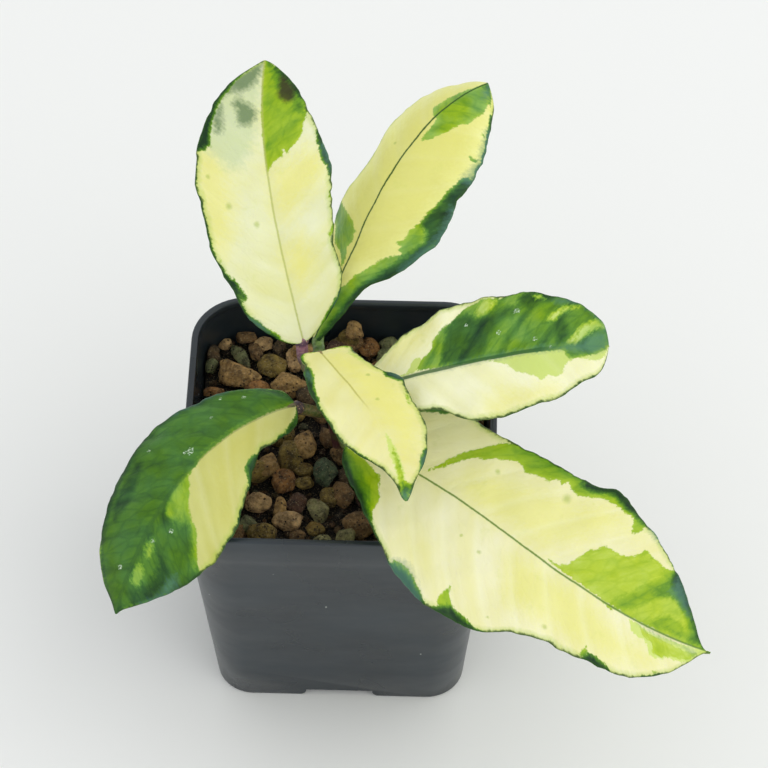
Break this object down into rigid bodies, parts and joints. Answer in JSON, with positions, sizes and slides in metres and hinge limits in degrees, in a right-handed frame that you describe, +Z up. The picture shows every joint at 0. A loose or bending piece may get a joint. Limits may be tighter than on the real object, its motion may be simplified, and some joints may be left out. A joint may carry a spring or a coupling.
{
  "type": "potted variegated hoya crassipetiolata",
  "caption": "Young hoya with thick cream and green variegated leaves on a short stem, in a square black nursery pot of gravel.",
  "frame": {"origin": "on the surface that the pot stands on, under the middle of the object's box; the middle of the pot's base is at -0.0160, 0.0037, 0", "axes": "+Z up; the pot's walls face +X, -X, +Y and -Y; the side seen in the picture faces -Y, with the longest leaf pointing to +X and -Y"},
  "size_m": [0.1434, 0.1286, 0.1442],
  "materials": {
    "pot": "semi-gloss moulded charcoal black",
    "gravel": "matt porous mixed stones, tan, brown and grey-green",
    "stem": "satin, green-brown with purple joints",
    "leaf": "satin waxy leaf, cream variegated with green"
  },
  "bodies": {
    "root": {"pot": "pot", "gravel": "gravel", "stem": "stem", "leaf_back_left": "leaf", "leaf_back_right": "leaf", "leaf_right": "leaf", "leaf_left": "leaf", "leaf_centre": "leaf", "leaf_front_right": "leaf"}
  },
  "joints": []
}
